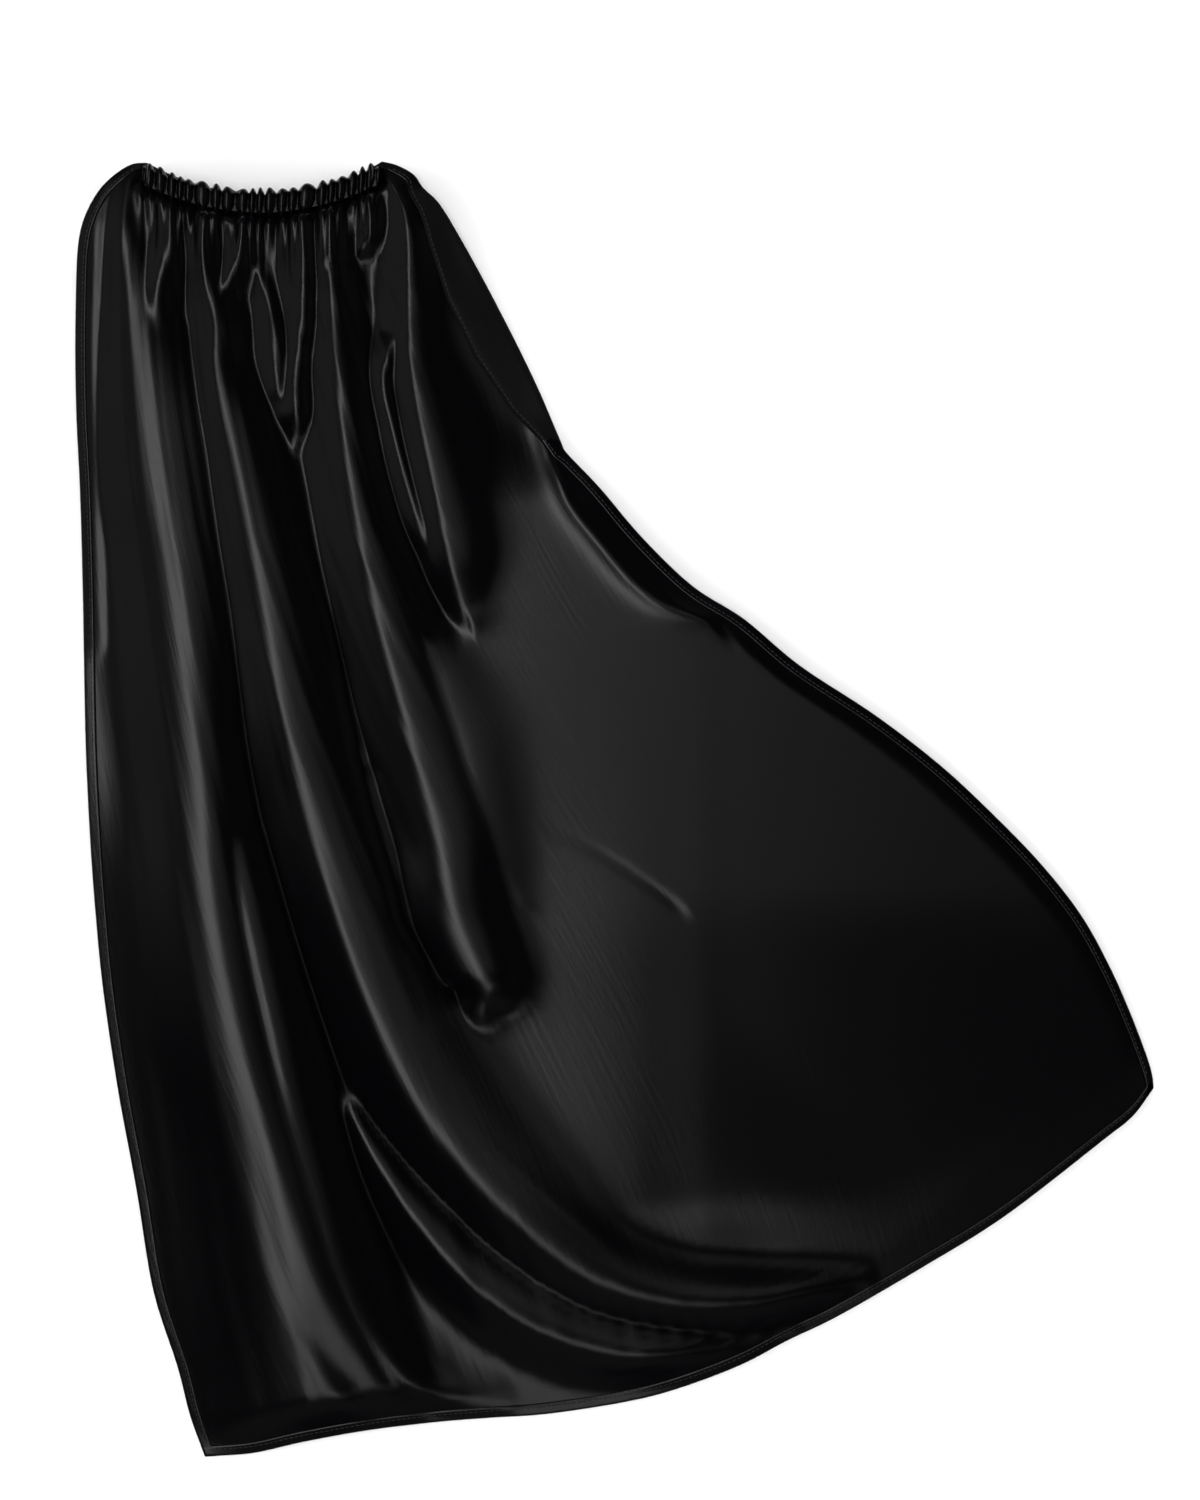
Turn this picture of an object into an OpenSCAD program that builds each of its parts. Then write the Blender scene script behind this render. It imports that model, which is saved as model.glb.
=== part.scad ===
// Child's superhero cape, laid flat with its outer side up.
// Origin: bottom centre of the whole cape. +Y runs up to the neck, +Z up from the floor.

/* [Cloth] */
// Thickness that stands for the satin
cloth_t = 1.0; // [0.8:0.1:1.4]
// Width of the turned hems
hem_w = 6; // [5:1:9]
// How much thicker a hem is than the cloth
hem_extra = 0.6; // [0.4:0.1:1.0]
// Height of the tallest fold above the floor
fold_h = 22; // [12:1:26]

/* [Neck] */
// Width of the gathered neck between its two peaks
neck_w = 130; // [124:1:134]
// Depth of the neck curve below the peaks
neck_dip = 16; // [12:1:18]
// Width of the casing channel along the cape
casing_w = 14; // [13:1:16]
// Height of the casing channel
casing_h = 6; // [5:0.5:7]
// Number of gathers along the casing
gathers = 22; // [14:1:26]
// Width of the elastic
elastic_w = 8; // [6:1:9]
// Thickness of the elastic
elastic_t = 0.8; // [0.6:0.1:1.0]

/* [Closing straps] */
// Width of each strap
strap_w = 14; // [12:1:14]
// Thickness of each strap
strap_t = 1.0; // [0.8:0.1:1.0]
// Radius of the curve that the straps lie on
strap_r = 120; // [119:1:122]
// Length of each hook or loop tape
tape_l = 30; // [20:1:34]
// Width of each hook or loop tape
tape_w = 10; // [8:1:10]
// Thickness of each hook or loop tape
tape_t = 1.1; // [0.8:0.1:1.1]
// Radius of the bar tacks that hold the straps
tack_r = 1.2; // [1:0.1:1.5]

/* [Stitching] */
// Radius of the thread lines
thread_r = 0.35; // [0.25:0.05:0.45]
// Distance of the thread lines from the edges
stitch_in = 4; // [3:0.5:4.5]

/* [Hidden] */

satin = "#141416";
thread = "#0b0b0c";

// Half the gap between the cape and the neck along the line that the neck lifts on
lift_gap = 0.2;
// Middle of the neck, and the height of its peaks up the cape
neck_x = -190;
neck_top_y = 348.5;
// The neck lies on the folded straps, this high above the floor
neck_z = 5.8;

// Edges of the cape, from the lift line down to the corners
LEFT = [
  [-287, 312], [-291.3, 230], [-288, 147], [-286, 64], [-283, -19],
  [-275, -102], [-262, -185], [-246, -268], [-221, -349]
];
RIGHT = [
  [-86, 312], [-50, 246], [-12, 178], [44, 120], [115, 69],
  [180, 21], [235, -34], [272, -92], [291.3, -150]
];
BOTTOM = [
  [-221, -349], [-152, -338], [-85, -329], [-18, -325], [46, -308],
  [106, -280], [166, -246], [225, -209], [291.3, -150]
];
// Top of the gathers: left shoulder, left peak, neck curve, right peak, right shoulder
LEFT_SHOULDER = [[-287, 314], [-284, 325], [-276, 336], [-266, 344]];
RIGHT_SHOULDER = [[-112, 344], [-102, 336], [-94, 325], [-86, 314]];

// Crests of the folds: points, half width, height as a share of fold_h
FOLDS = [
  [[[-268, 309], [-260, 244], [-249, 191], [-231, 108], [-222, 5], [-205, -157],
    [-177, -206], [-152, -278], [-125, -312]], 26, 1],
  [[[-200, 309], [-214, 270], [-210, 221], [-192, 148], [-169, 24], [-154, -49],
    [-129, -113], [-83, -184], [-45, -223], [7, -258], [60, -264], [123, -258]], 24, 0.95],
  [[[-154, 309], [-151, 263], [-142, 191], [-125, 100], [-102, 27], [-89, -32],
    [-70, -95]], 20, 0.85],
  [[[-137, -173], [-114, -211], [-83, -249], [-37, -279], [28, -294], [84, -292]], 16, 0.6],
  [[[-111, 309], [-110, 250], [-103, 210]], 14, 0.6],
  [[[-41, 209], [-16, 157], [15, 116], [62, 104]], 14, 0.45]
];
// The tail stands a little off the floor over this disc
BILLOW = [20, -120, 110, 0.4];

function mix(a, b, t) = a + (b - a) * t;
function clamp01(t) = max(0, min(1, t));
function spline(p, q, r, s, t) =
  0.5 * (2 * q + (r - p) * t + (2 * p - 5 * q + 4 * r - s) * t * t
    + (3 * q - p - 3 * r + s) * t * t * t);
function along(pts, t) =
  let (n = len(pts) - 1, s = clamp01(t) * n, i = min(n - 1, floor(s)))
  spline(pts[max(0, i - 1)], pts[i], pts[i + 1], pts[min(n, i + 2)], s - i);

// Plan of the cape below the lift line: u runs left to right, v from neck to hem
function plan(u, v) =
  let (left = along(LEFT, v), right = along(RIGHT, v))
  mix(left, right, u) + v * (along(BOTTOM, u) - mix(BOTTOM[0], BOTTOM[len(BOTTOM) - 1], u));

// Height of the cloth's underside: folds, raised to lie on the straps at the neck
function bump(d, w) = d < w ? (1 + cos(180 * d / w)) / 2 : 0;
function off_line(p, a, b) =
  let (ab = b - a, t = clamp01(((p - a) * ab) / (ab * ab))) norm(p - a - ab * t);
function off_crest(p, pts) = min([for (i = [0:len(pts) - 2]) off_line(p, pts[i], pts[i + 1])]);
// The folds are low at the neck and broader towards the tail
function calm(y) = 1 - 0.8 * clamp01((y - 225) / 85);
function broad(y) = 1 + clamp01((160 - y) / 500);
function folds(p) =
  fold_h * calm(p.y) * max(
    BILLOW[3] * bump(norm(p - [BILLOW[0], BILLOW[1]]), BILLOW[2]),
    max([for (f = FOLDS) f[2] * bump(off_crest(p, f[0]), f[1] * broad(p.y))])
  );
function underside(p) = neck_z * clamp01((p.y - 250) / 50) + folds(p);

// A closed sheet between two grids of points with the same rows and columns
module sheet(grid, thick) {
  rows = len(grid);
  cols = len(grid[0]);
  size = rows * cols;
  low = [for (row = grid) for (p = row) p];
  high = [for (row = grid) for (p = row) p + [0, 0, thick]];
  faces = concat(
    [for (i = [0:rows - 2]) for (j = [0:cols - 2]) for (side = [0, 1])
      let (a = i * cols + j, b = a + 1, c = a + cols, d = c + 1)
      each side == 0 ? [[a, b, c], [b, d, c]]
        : [[a + size, c + size, b + size], [b + size, c + size, d + size]]],
    [for (i = [0:rows - 2]) for (side = [0, 1])
      let (a = side == 0 ? i * cols : i * cols + cols - 1, b = a + cols)
      each side == 0 ? [[a, b, a + size], [b, b + size, a + size]]
        : [[b, a, a + size], [b, a + size, b + size]]],
    [for (j = [0:cols - 2]) for (side = [0, 1])
      let (a = side == 0 ? j : (rows - 1) * cols + j, b = a + 1)
      each side == 0 ? [[b, a, a + size], [b, a + size, b + size]]
        : [[a, b, a + size], [b, b + size, a + size]]]
  );
  polyhedron(concat(low, high), faces);
}
function lay(p) = [p.x, p.y, underside(p)];

// A thread line swept along a row of points on the cloth
module thread_line(pts, rise) {
  n = len(pts);
  ring = [[1, 0], [0, 1], [-1, 0], [0, -1]] * thread_r;
  points = [for (i = [0:n - 1])
    let (run = pts[min(n - 1, i + 1)] - pts[max(0, i - 1)],
      side = [run.y, -run.x, 0] / norm([run.x, run.y]))
    for (r = ring) pts[i] + side * r.x + [0, 0, rise + thread_r + r.y]];
  walls = [for (i = [0:n - 2]) for (j = [0:3])
    let (a = i * 4 + j, b = i * 4 + (j + 1) % 4)
    each [[a, a + 4, b], [b, a + 4, b + 4]]];
  last = (n - 1) * 4;
  polyhedron(points, concat(walls, [[0, 1, 2], [0, 2, 3]],
    [[last, last + 2, last + 1], [last, last + 3, last + 2]]));
}

// Share of the width or of the length that a hem takes
length_v = 660;
function hem_u(v) = hem_w / norm(along(RIGHT, v) - along(LEFT, v));
hem_v = hem_w / length_v;
side_rows = 60;
hem_cols = 50;

// Grid of a part of the cape: u as a share of the width between the side hems
function body_grid(v0, v1, rows, cols) = [for (i = [0:rows]) [for (j = [0:cols])
  let (v = mix(v0, v1, i / rows), h = hem_u(v)) lay(plan(mix(h, 1 - h, j / cols), v))]];
function side_grid(right) = [for (i = [0:side_rows]) [for (j = [0:2])
  let (v = i / side_rows, h = hem_u(v), u = h * j / 2) lay(plan(right ? 1 - h + u : u, v))]];
function bottom_grid() = body_grid(1 - hem_v, 1, 2, hem_cols);

module cape_panel() {
  color(satin) translate([0, -lift_gap, 0]) sheet(body_grid(0, 1 - hem_v, 46, 42), cloth_t);
}
module left_side_hem() {
  color(satin) translate([0, -lift_gap, 0]) sheet(side_grid(false), cloth_t + hem_extra);
}
module right_side_hem() {
  color(satin) translate([0, -lift_gap, 0]) sheet(side_grid(true), cloth_t + hem_extra);
}
module bottom_hem() {
  color(satin) translate([0, -lift_gap, 0]) sheet(bottom_grid(), cloth_t + hem_extra);
}

// Thread lines lie just over the hems, across the three lines of each hem's grid
stitch_rise = cloth_t + hem_extra + 0.3;
stitch_share = stitch_in / hem_w;
function across(a, b, c, s) = s < 0.5 ? mix(a, b, 2 * s) : mix(b, c, 2 * s - 1);
function side_stitches(right) =
  let (grid = side_grid(right), s = right ? 1 - stitch_share : stitch_share)
  [for (i = [1:side_rows - 1]) across(grid[i][0], grid[i][1], grid[i][2], s)];
module left_hem_stitching() {
  color(thread) thread_line(side_stitches(false), stitch_rise);
}
module right_hem_stitching() {
  color(thread) thread_line(side_stitches(true), stitch_rise);
}
module bottom_hem_stitching() {
  grid = bottom_grid();
  color(thread) thread_line([for (j = [1:hem_cols - 1])
    across(grid[0][j], grid[1][j], grid[2][j], 1 - stitch_share)], stitch_rise);
}

// The neck curve, and the gathered cloth between it and the lift line
function neck_y(x) = neck_top_y - neck_dip * (1 - pow((x - neck_x) / (neck_w / 2), 2));
neck_steps = 14;
NECK = [for (i = [0:neck_steps])
  let (x = neck_x + neck_w * (i / neck_steps - 0.5)) [x, neck_y(x)]];
TOP = concat(LEFT_SHOULDER, NECK, RIGHT_SHOULDER);

function top_point(u) =
  let (n = len(TOP) - 1, s = u * n, i = min(n - 1, floor(s))) mix(TOP[i], TOP[i + 1], s - i);
top_cols = 44;
top_rows = 10;
// The cloth is flat under the casing and takes up its folds just before the lift line
flat_share = 0.74;
function top_lay(u, t) =
  let (foot = mix(plan(0, 0), plan(1, 0), u), p = mix(top_point(u), foot, t))
  [p.x, p.y, mix(neck_z, underside(foot), pow(clamp01((t - flat_share) / (1 - flat_share)), 2))];
module gathered_top() {
  color(satin) translate([0, lift_gap, 0])
    sheet([for (i = [0:top_rows]) [for (j = [0:top_cols])
      top_lay(j / top_cols, i / top_rows)]], cloth_t);
}

// The casing: a flattened tube along the neck curve, gathered on top
casing_z = neck_z + cloth_t + 0.1;
casing_wall = 0.9;
casing_steps = gathers * 3;
casing_end = 3;
// How far each gather stands up on the casing
gather_h = 0.9;
function casing_x(i) =
  neck_x + (neck_w - 2 * casing_end) * (i / casing_steps - 0.5);
function casing_mid(i) = let (x = casing_x(i)) [x, neck_y(x) - casing_w / 2 - 0.5];
// One section: an oval with a flat foot, crest lifts the top at each gather
function oval(w, h, base, crest) = [for (k = [0:11])
  let (a = 30 * k) [cos(a) * w / 2, base + h / 2 + sin(a) * (h / 2 + (sin(a) > 0.1 ? crest : 0))]];
module casing_tube(w, h, base, wall) {
  ring = 12;
  n = casing_steps + 1;
  outer = [for (i = [0:casing_steps]) let (m = casing_mid(i), c = i % 3 == 1 ? gather_h : 0)
    for (q = oval(w, h, base, c)) [m.x, m.y + q.x, q.y]];
  inner = [for (i = [0:casing_steps]) let (m = casing_mid(i), c = i % 3 == 1 ? gather_h : 0)
    for (q = oval(w - 2 * wall, h - 2 * wall, base + wall, c)) [m.x, m.y + q.x, q.y]];
  size = n * ring;
  walls = [for (i = [0:n - 2]) for (k = [0:ring - 1])
    let (a = i * ring + k, b = i * ring + (k + 1) % ring)
    each [[a, b, a + ring], [b, b + ring, a + ring],
      [a + size, a + ring + size, b + size], [b + size, a + ring + size, b + ring + size]]];
  ends = [for (k = [0:ring - 1])
    let (a = k, b = (k + 1) % ring, c = (n - 1) * ring + k, d = (n - 1) * ring + (k + 1) % ring)
    each [[a, a + size, b], [b, a + size, b + size], [c, d, c + size], [d, d + size, c + size]]];
  polyhedron(concat(outer, inner), concat(walls, ends));
}
module neck_casing() {
  color(satin) translate([0, lift_gap, 0]) casing_tube(casing_w, casing_h, casing_z, casing_wall);
}
module neck_elastic() {
  z = casing_z + (casing_h - elastic_t) / 2;
  color("#1d1d1f") translate([0, lift_gap, 0])
    sheet([for (j = [0:2]) [for (i = [0:casing_steps / 2])
      let (m = casing_mid(2 * i)) [m.x, m.y + elastic_w * (0.5 - j / 2), z]]], elastic_t);
}
module casing_stitching() {
  rise = cloth_t + 0.45;
  color(thread) translate([0, lift_gap, 0])
    thread_line([for (i = [0:40]) let (x = neck_x + (neck_w - 8) * (i / 40 - 0.5))
      [x, neck_y(x) - casing_w - 2, neck_z]], rise);
}

// The closing straps lie on one arc under the casing and swing on the bar tacks
pivot_out = 56;
arc_y = 322 + strap_r;
pivot_y = arc_y - sqrt(strap_r * strap_r - pivot_out * pivot_out);
pivot_a = asin(pivot_out / strap_r);
tape_a = tape_l / strap_r * 180 / PI;
tip_a = tape_a / 2 + 2;
loop_z = 0.4;
loop_tape_z = loop_z + strap_t;
hook_tape_z = loop_tape_z + tape_t + 0.3;
hook_z = hook_tape_z + tape_t;
hole_r = tack_r + 0.06;
// The rounded end of a strap is this much wider than its band on each side
strap_end = 0.8;

// A curved band about the arc's centre, from one angle to another
module band(r, w, a0, a1, z, t) {
  translate([neck_x, arc_y, z]) rotate([0, 0, 270 + a0])
    rotate_extrude(angle = a1 - a0, $fn = 96) translate([r - w / 2, 0]) square([w, t]);
}
module strap(z, a0, a1, pivot_x) {
  difference() {
    union() {
      band(strap_r, strap_w, a0, a1, z, strap_t);
      translate([pivot_x, pivot_y, z]) cylinder(h = strap_t, r = strap_w / 2 + strap_end, $fn = 48);
    }
    translate([pivot_x, pivot_y, z - 1]) cylinder(h = strap_t + 2, r = hole_r, $fn = 48);
  }
}
module hook_strap() {
  color(satin) strap(hook_z, -pivot_a, tip_a, neck_x - pivot_out);
}
module loop_strap() {
  color(satin) strap(loop_z, -tip_a, pivot_a, neck_x + pivot_out);
}
module hook_tape() {
  color("#1a1a1c") band(strap_r, tape_w, -tape_a / 2, tape_a / 2, hook_tape_z, tape_t);
}
module loop_tape() {
  color("#202023") band(strap_r, tape_w, -tape_a / 2, tape_a / 2, loop_tape_z, tape_t);
}
frame_t = 0.25;
// A stitched frame a little inside the tape's outline, on the strap's other face
module tape_frame(z) {
  frame_w = 0.7;
  frame_in = 1.2;
  end_a = tape_a / 2 - frame_in / strap_r * 180 / PI;
  line_a = frame_w / strap_r * 180 / PI;
  side = tape_w / 2 - frame_in;
  band(strap_r - side, frame_w, -end_a, end_a, z, frame_t);
  band(strap_r + side, frame_w, -end_a, end_a, z, frame_t);
  band(strap_r, 2 * side, -end_a, line_a - end_a, z, frame_t);
  band(strap_r, 2 * side, end_a - line_a, end_a, z, frame_t);
}
module hook_tape_stitching() {
  color(thread) tape_frame(hook_z + strap_t);
}
module loop_tape_stitching() {
  color(thread) tape_frame(loop_z - frame_t);
}
// Each tack is a stem of thread through the strap, with a knot under it and a pad over it
module bar_tack(pivot_x, z) {
  knot_r = 2.6;
  knot_t = 0.3;
  slack = 0.08;
  color(thread) translate([pivot_x, pivot_y, 0]) {
    translate([0, 0, z - slack]) cylinder(h = neck_z - z + slack, r = tack_r, $fn = 48);
    translate([0, 0, z - slack - knot_t]) cylinder(h = knot_t, r = knot_r, $fn = 48);
    translate([0, 0, z + strap_t + slack])
      cylinder(h = neck_z - z - strap_t - slack, r = knot_r, $fn = 48);
  }
}
module left_bar_tack() {
  bar_tack(neck_x - pivot_out, hook_z);
}
module right_bar_tack() {
  bar_tack(neck_x + pivot_out, loop_z);
}

cape_panel();
left_side_hem();
right_side_hem();
bottom_hem();
left_hem_stitching();
right_hem_stitching();
bottom_hem_stitching();
gathered_top();
neck_casing();
neck_elastic();
casing_stitching();
left_bar_tack();
right_bar_tack();
hook_strap();
hook_tape();
hook_tape_stitching();
loop_strap();
loop_tape();
loop_tape_stitching();
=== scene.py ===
import math

import bmesh
import bpy
import numpy as np
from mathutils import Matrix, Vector


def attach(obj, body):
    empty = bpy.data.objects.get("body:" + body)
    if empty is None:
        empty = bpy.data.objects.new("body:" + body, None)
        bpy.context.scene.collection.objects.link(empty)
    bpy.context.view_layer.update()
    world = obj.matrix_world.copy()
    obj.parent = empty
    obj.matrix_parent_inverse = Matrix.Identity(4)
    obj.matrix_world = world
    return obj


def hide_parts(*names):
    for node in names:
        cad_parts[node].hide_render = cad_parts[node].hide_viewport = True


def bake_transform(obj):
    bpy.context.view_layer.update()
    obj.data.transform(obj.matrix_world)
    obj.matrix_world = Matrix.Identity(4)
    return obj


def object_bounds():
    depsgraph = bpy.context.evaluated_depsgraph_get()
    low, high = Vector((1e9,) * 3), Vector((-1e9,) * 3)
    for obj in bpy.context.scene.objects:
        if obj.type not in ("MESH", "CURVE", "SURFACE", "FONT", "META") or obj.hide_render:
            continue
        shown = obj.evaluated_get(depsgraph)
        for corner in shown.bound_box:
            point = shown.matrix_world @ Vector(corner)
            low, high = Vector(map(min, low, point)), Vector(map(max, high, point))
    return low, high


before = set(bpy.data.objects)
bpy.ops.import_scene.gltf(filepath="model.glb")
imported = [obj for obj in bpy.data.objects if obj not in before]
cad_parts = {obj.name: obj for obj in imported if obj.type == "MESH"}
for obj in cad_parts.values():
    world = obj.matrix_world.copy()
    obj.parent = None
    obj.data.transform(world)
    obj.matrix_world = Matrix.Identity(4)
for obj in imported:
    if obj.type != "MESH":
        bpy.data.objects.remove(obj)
cad_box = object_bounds()

# The view: straight down on the cape as it lies on the floor, the neck at the top.
# The camera is high on a long lens, so the cape shows with hardly any perspective.
MM = 0.001
VIEW_HIGH = 0.81
LENS = 85.0
SENSOR = 36.0
view_centre = Vector((-0.0078, 0.0324, 0.0))
camera = bpy.data.objects.new("camera", bpy.data.cameras.new("camera"))
camera.data.lens = LENS
camera.data.sensor_width = SENSOR
camera.location = view_centre + Vector((0, 0, VIEW_HIGH * LENS / SENSOR))
bpy.context.collection.objects.link(camera)
bpy.context.scene.camera = camera
bpy.context.scene.view_settings.view_transform = "Standard"


# The floor: a large sheet of pale matt paper under the cape.
# Plain, with no edge or horizon in the view.
def colour(hex_code):
    """An sRGB hex colour as linear RGBA."""
    channels = [int(hex_code[i:i + 2], 16) / 255 for i in (1, 3, 5)]
    linear = [c / 12.92 if c <= 0.04045 else ((c + 0.055) / 1.055) ** 2.4 for c in channels]
    return (*linear, 1.0)


def add(tree, kind, settings=None, **links):
    """A new node, with its settings, its input values and its links from other sockets."""
    node = tree.nodes.new(kind)
    for name, value in (settings or {}).items():
        setattr(node, name, value)
    for name, value in links.items():
        socket = node.inputs[name.replace("_", " ")]
        if isinstance(value, bpy.types.NodeSocket):
            tree.links.new(value, socket)
        else:
            socket.default_value = value
    return node


def new_material(name):
    """An empty node material and its tree, output and Principled shader."""
    material = bpy.data.materials.new(name)
    material.use_nodes = True
    tree = material.node_tree
    shader = tree.nodes["Principled BSDF"]
    return material, tree, shader


def piece_from(bm, name, *materials):
    """A new object from a finished bmesh, with its materials."""
    mesh = bpy.data.meshes.new(name)
    bm.to_mesh(mesh)
    bm.free()
    for material in materials:
        mesh.materials.append(material)
    piece = bpy.data.objects.new(name, mesh)
    bpy.context.collection.objects.link(piece)
    return piece


# Matt uncoated paper: nearly white, with no gloss.
FLOOR_SIZE, FLOOR_GAP = 6.0, 0.3 * MM
paper, _, shader = new_material("matt_paper")
shader.inputs["Base Color"].default_value = colour("#fdfdfd")
shader.inputs["Roughness"].default_value = 0.9
bm = bmesh.new()
bmesh.ops.create_grid(bm, x_segments=1, y_segments=1, size=FLOOR_SIZE)
bmesh.ops.translate(bm, verts=bm.verts, vec=(0, 0, cad_box[0].z - FLOOR_GAP))
floor = piece_from(bm, "floor", paper)


# The studio light: soft boxes over the cape and round it, in metres and watts. The brightest
# hangs over its left and shows on the crests of the folds, dim ones give the open cloth its
# grey, and four low ones whiten the floor.
SIDE_OUT, SIDE_HIGH, SIDE_TILT = 2.2, 1.7, 52
FLOOR_OUT, FLOOR_HIGH, FLOOR_TILT, FLOOR_WATTS = 2.8, 0.7, 74, 100
FLOOR_BOX = (3.0, 0.6)
SIDE_DEEP = 1.4
AIR_LIGHT = 0.01


def soft_box(name, place, size, watts, turn=None, tilt=0, shine=True):
    """An area light that faces straight down, or in from the side that turn gives.

    A light without shine only lights the floor: it is left out of the satin's gloss, as black flags
    would keep it out."""
    light = bpy.data.lights.new(name, "AREA")
    light.shape = "RECTANGLE"
    light.size, light.size_y = size
    light.energy = watts
    lamp = bpy.data.objects.new(name, light)
    lamp.location = place
    if turn is not None:
        lamp.rotation_euler = (math.radians(tilt), 0, math.radians(turn))
    lamp.visible_glossy = shine
    bpy.context.collection.objects.link(lamp)


for name, x, y, z, size, watts in (
        ("left_fill_box", -0.85, 0.85, 2.7, (1.7, 1.8), 3.4),
        ("left_over_box", -0.65, 0.0, 2.6, (0.60, 1.9), 16.0),
        ("tail_over_box", -0.10, -1.20, 2.6, (0.80, 0.54), 3.2),
        ("hem_over_box", 0.65, -1.15, 2.6, (0.70, 0.50), 0.35),
        ("middle_over_box", -0.10, -0.375, 2.6, (0.40, 0.55), 0.2),
        ("right_over_box", 0.28, 0.36, 2.6, (0.9, 0.92), 1.25)):
    soft_box(name, (x, y, z), size, watts)
for name, x, y, turn, slide, wide, watts in (
        ("left", -1, 0, -90, 0.65, 2.0, 3.4), ("right", 1, 0, 90, 0, 2.8, 1.0),
        ("tail", 0, -1, 0, 0, 2.8, 1.6), ("neck", 0, 1, 180, 0, 2.8, 1.6)):
    soft_box(name + "_side_box", (SIDE_OUT * x, SIDE_OUT * y + slide, SIDE_HIGH),
             (wide, SIDE_DEEP), watts, turn, SIDE_TILT)
    soft_box(name + "_floor_box", (FLOOR_OUT * x, FLOOR_OUT * y, FLOOR_HIGH), FLOOR_BOX,
             FLOOR_WATTS, turn, FLOOR_TILT, shine=False)
world = bpy.context.scene.world or bpy.data.worlds.new("studio")
bpy.context.scene.world = world
world.use_nodes = True
world.node_tree.nodes["Background"].inputs["Color"].default_value = colour("#ffffff")
world.node_tree.nodes["Background"].inputs["Strength"].default_value = AIR_LIGHT

# The satin panel: one cut of black polyester satin, gathered at the neck and swept out at the
# tail. It lies on the floor in folds that run down from the gathers. Sizes are in mm, and these
# are its four edges as it lies.
NECK = [(-252, 348.5), (-236, 341), (-219, 335.5), (-203, 332), (-187, 330.5),
        (-171, 331.5), (-155, 334.5), (-140, 341), (-125, 349)]
LEFT = [(-252, 348.5), (-260, 347.5), (-269, 342), (-277, 334), (-284, 322), (-288, 309),
        (-290, 290), (-291, 257), (-290.5, 215), (-288.5, 173), (-287, 119), (-285.5, 38),
        (-283, -16), (-280, -57), (-276, -97), (-268, -151), (-258, -205), (-249, -259),
        (-236, -300), (-229, -327), (-221, -349)]
RIGHT = [(-125, 349), (-117, 347), (-108, 342), (-103, 335), (-94, 326), (-83, 308),
         (-68, 281), (-54, 254), (-41, 227), (-29, 199), (-26, 193), (-8, 174),
         (15, 147), (42, 121), (70, 103), (100, 78), (141, 51), (176, 24), (205, -3),
         (231, -30), (252, -57), (267, -84), (279, -111), (289, -138), (291, -150)]
BOTTOM = [(-221, -349), (-195, -347), (-168, -341), (-135, -335), (-98, -330.5), (-67, -328),
          (-37, -326), (3, -320), (32, -313), (67, -300), (94, -286), (121, -273),
          (166, -247), (211, -219), (264, -178), (280, -165), (291, -150)]


def spline(points, count=400):
    """Points evenly spaced along a smooth curve through the given ones."""
    p = np.array(points, float)
    p = np.vstack([2 * p[0] - p[1], p, 2 * p[-1] - p[-2]])
    t = np.linspace(0, 1, 12, endpoint=False)[:, None]
    parts = [0.5 * (2 * b + (c - a) * t + (2 * a - 5 * b + 4 * c - d) * t ** 2
                    + (3 * b - a - 3 * c + d) * t ** 3)
             for a, b, c, d in zip(p, p[1:], p[2:], p[3:])]
    curve = np.vstack(parts + [p[-2:-1]])
    run = np.concatenate([[0], np.cumsum(np.linalg.norm(np.diff(curve[:, :2], axis=0), axis=1))])
    at = np.linspace(0, run[-1], count)
    return np.stack([np.interp(at, run, column) for column in curve.T], axis=1)


edges = {name: spline(points) for name, points in
         (("neck", NECK), ("left", LEFT), ("right", RIGHT), ("bottom", BOTTOM))}


def on(name, share):
    """The point of an edge at that share of its length."""
    at = np.clip(share, 0, 1) * (len(edges[name]) - 1)
    steps = np.arange(len(edges[name]))
    return np.stack([np.interp(at, steps, column) for column in edges[name].T], axis=-1)


def plan(u, v):
    """Where a point of the cloth lies on the floor: u from left to right, v from neck to hem."""
    u, v = np.broadcast_arrays(np.asarray(u, float), np.asarray(v, float))
    a, b = u[..., None], v[..., None]
    corners = [edges["neck"][0], edges["neck"][-1], edges["bottom"][0], edges["bottom"][-1]]
    sides = (1 - a) * on("left", v) + a * on("right", v)
    ends = (1 - b) * on("neck", u) + b * on("bottom", u)
    flat = ((1 - a) * (1 - b) * corners[0] + a * (1 - b) * corners[1]
            + (1 - a) * b * corners[2] + a * b * corners[3])
    return sides + ends - flat


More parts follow.
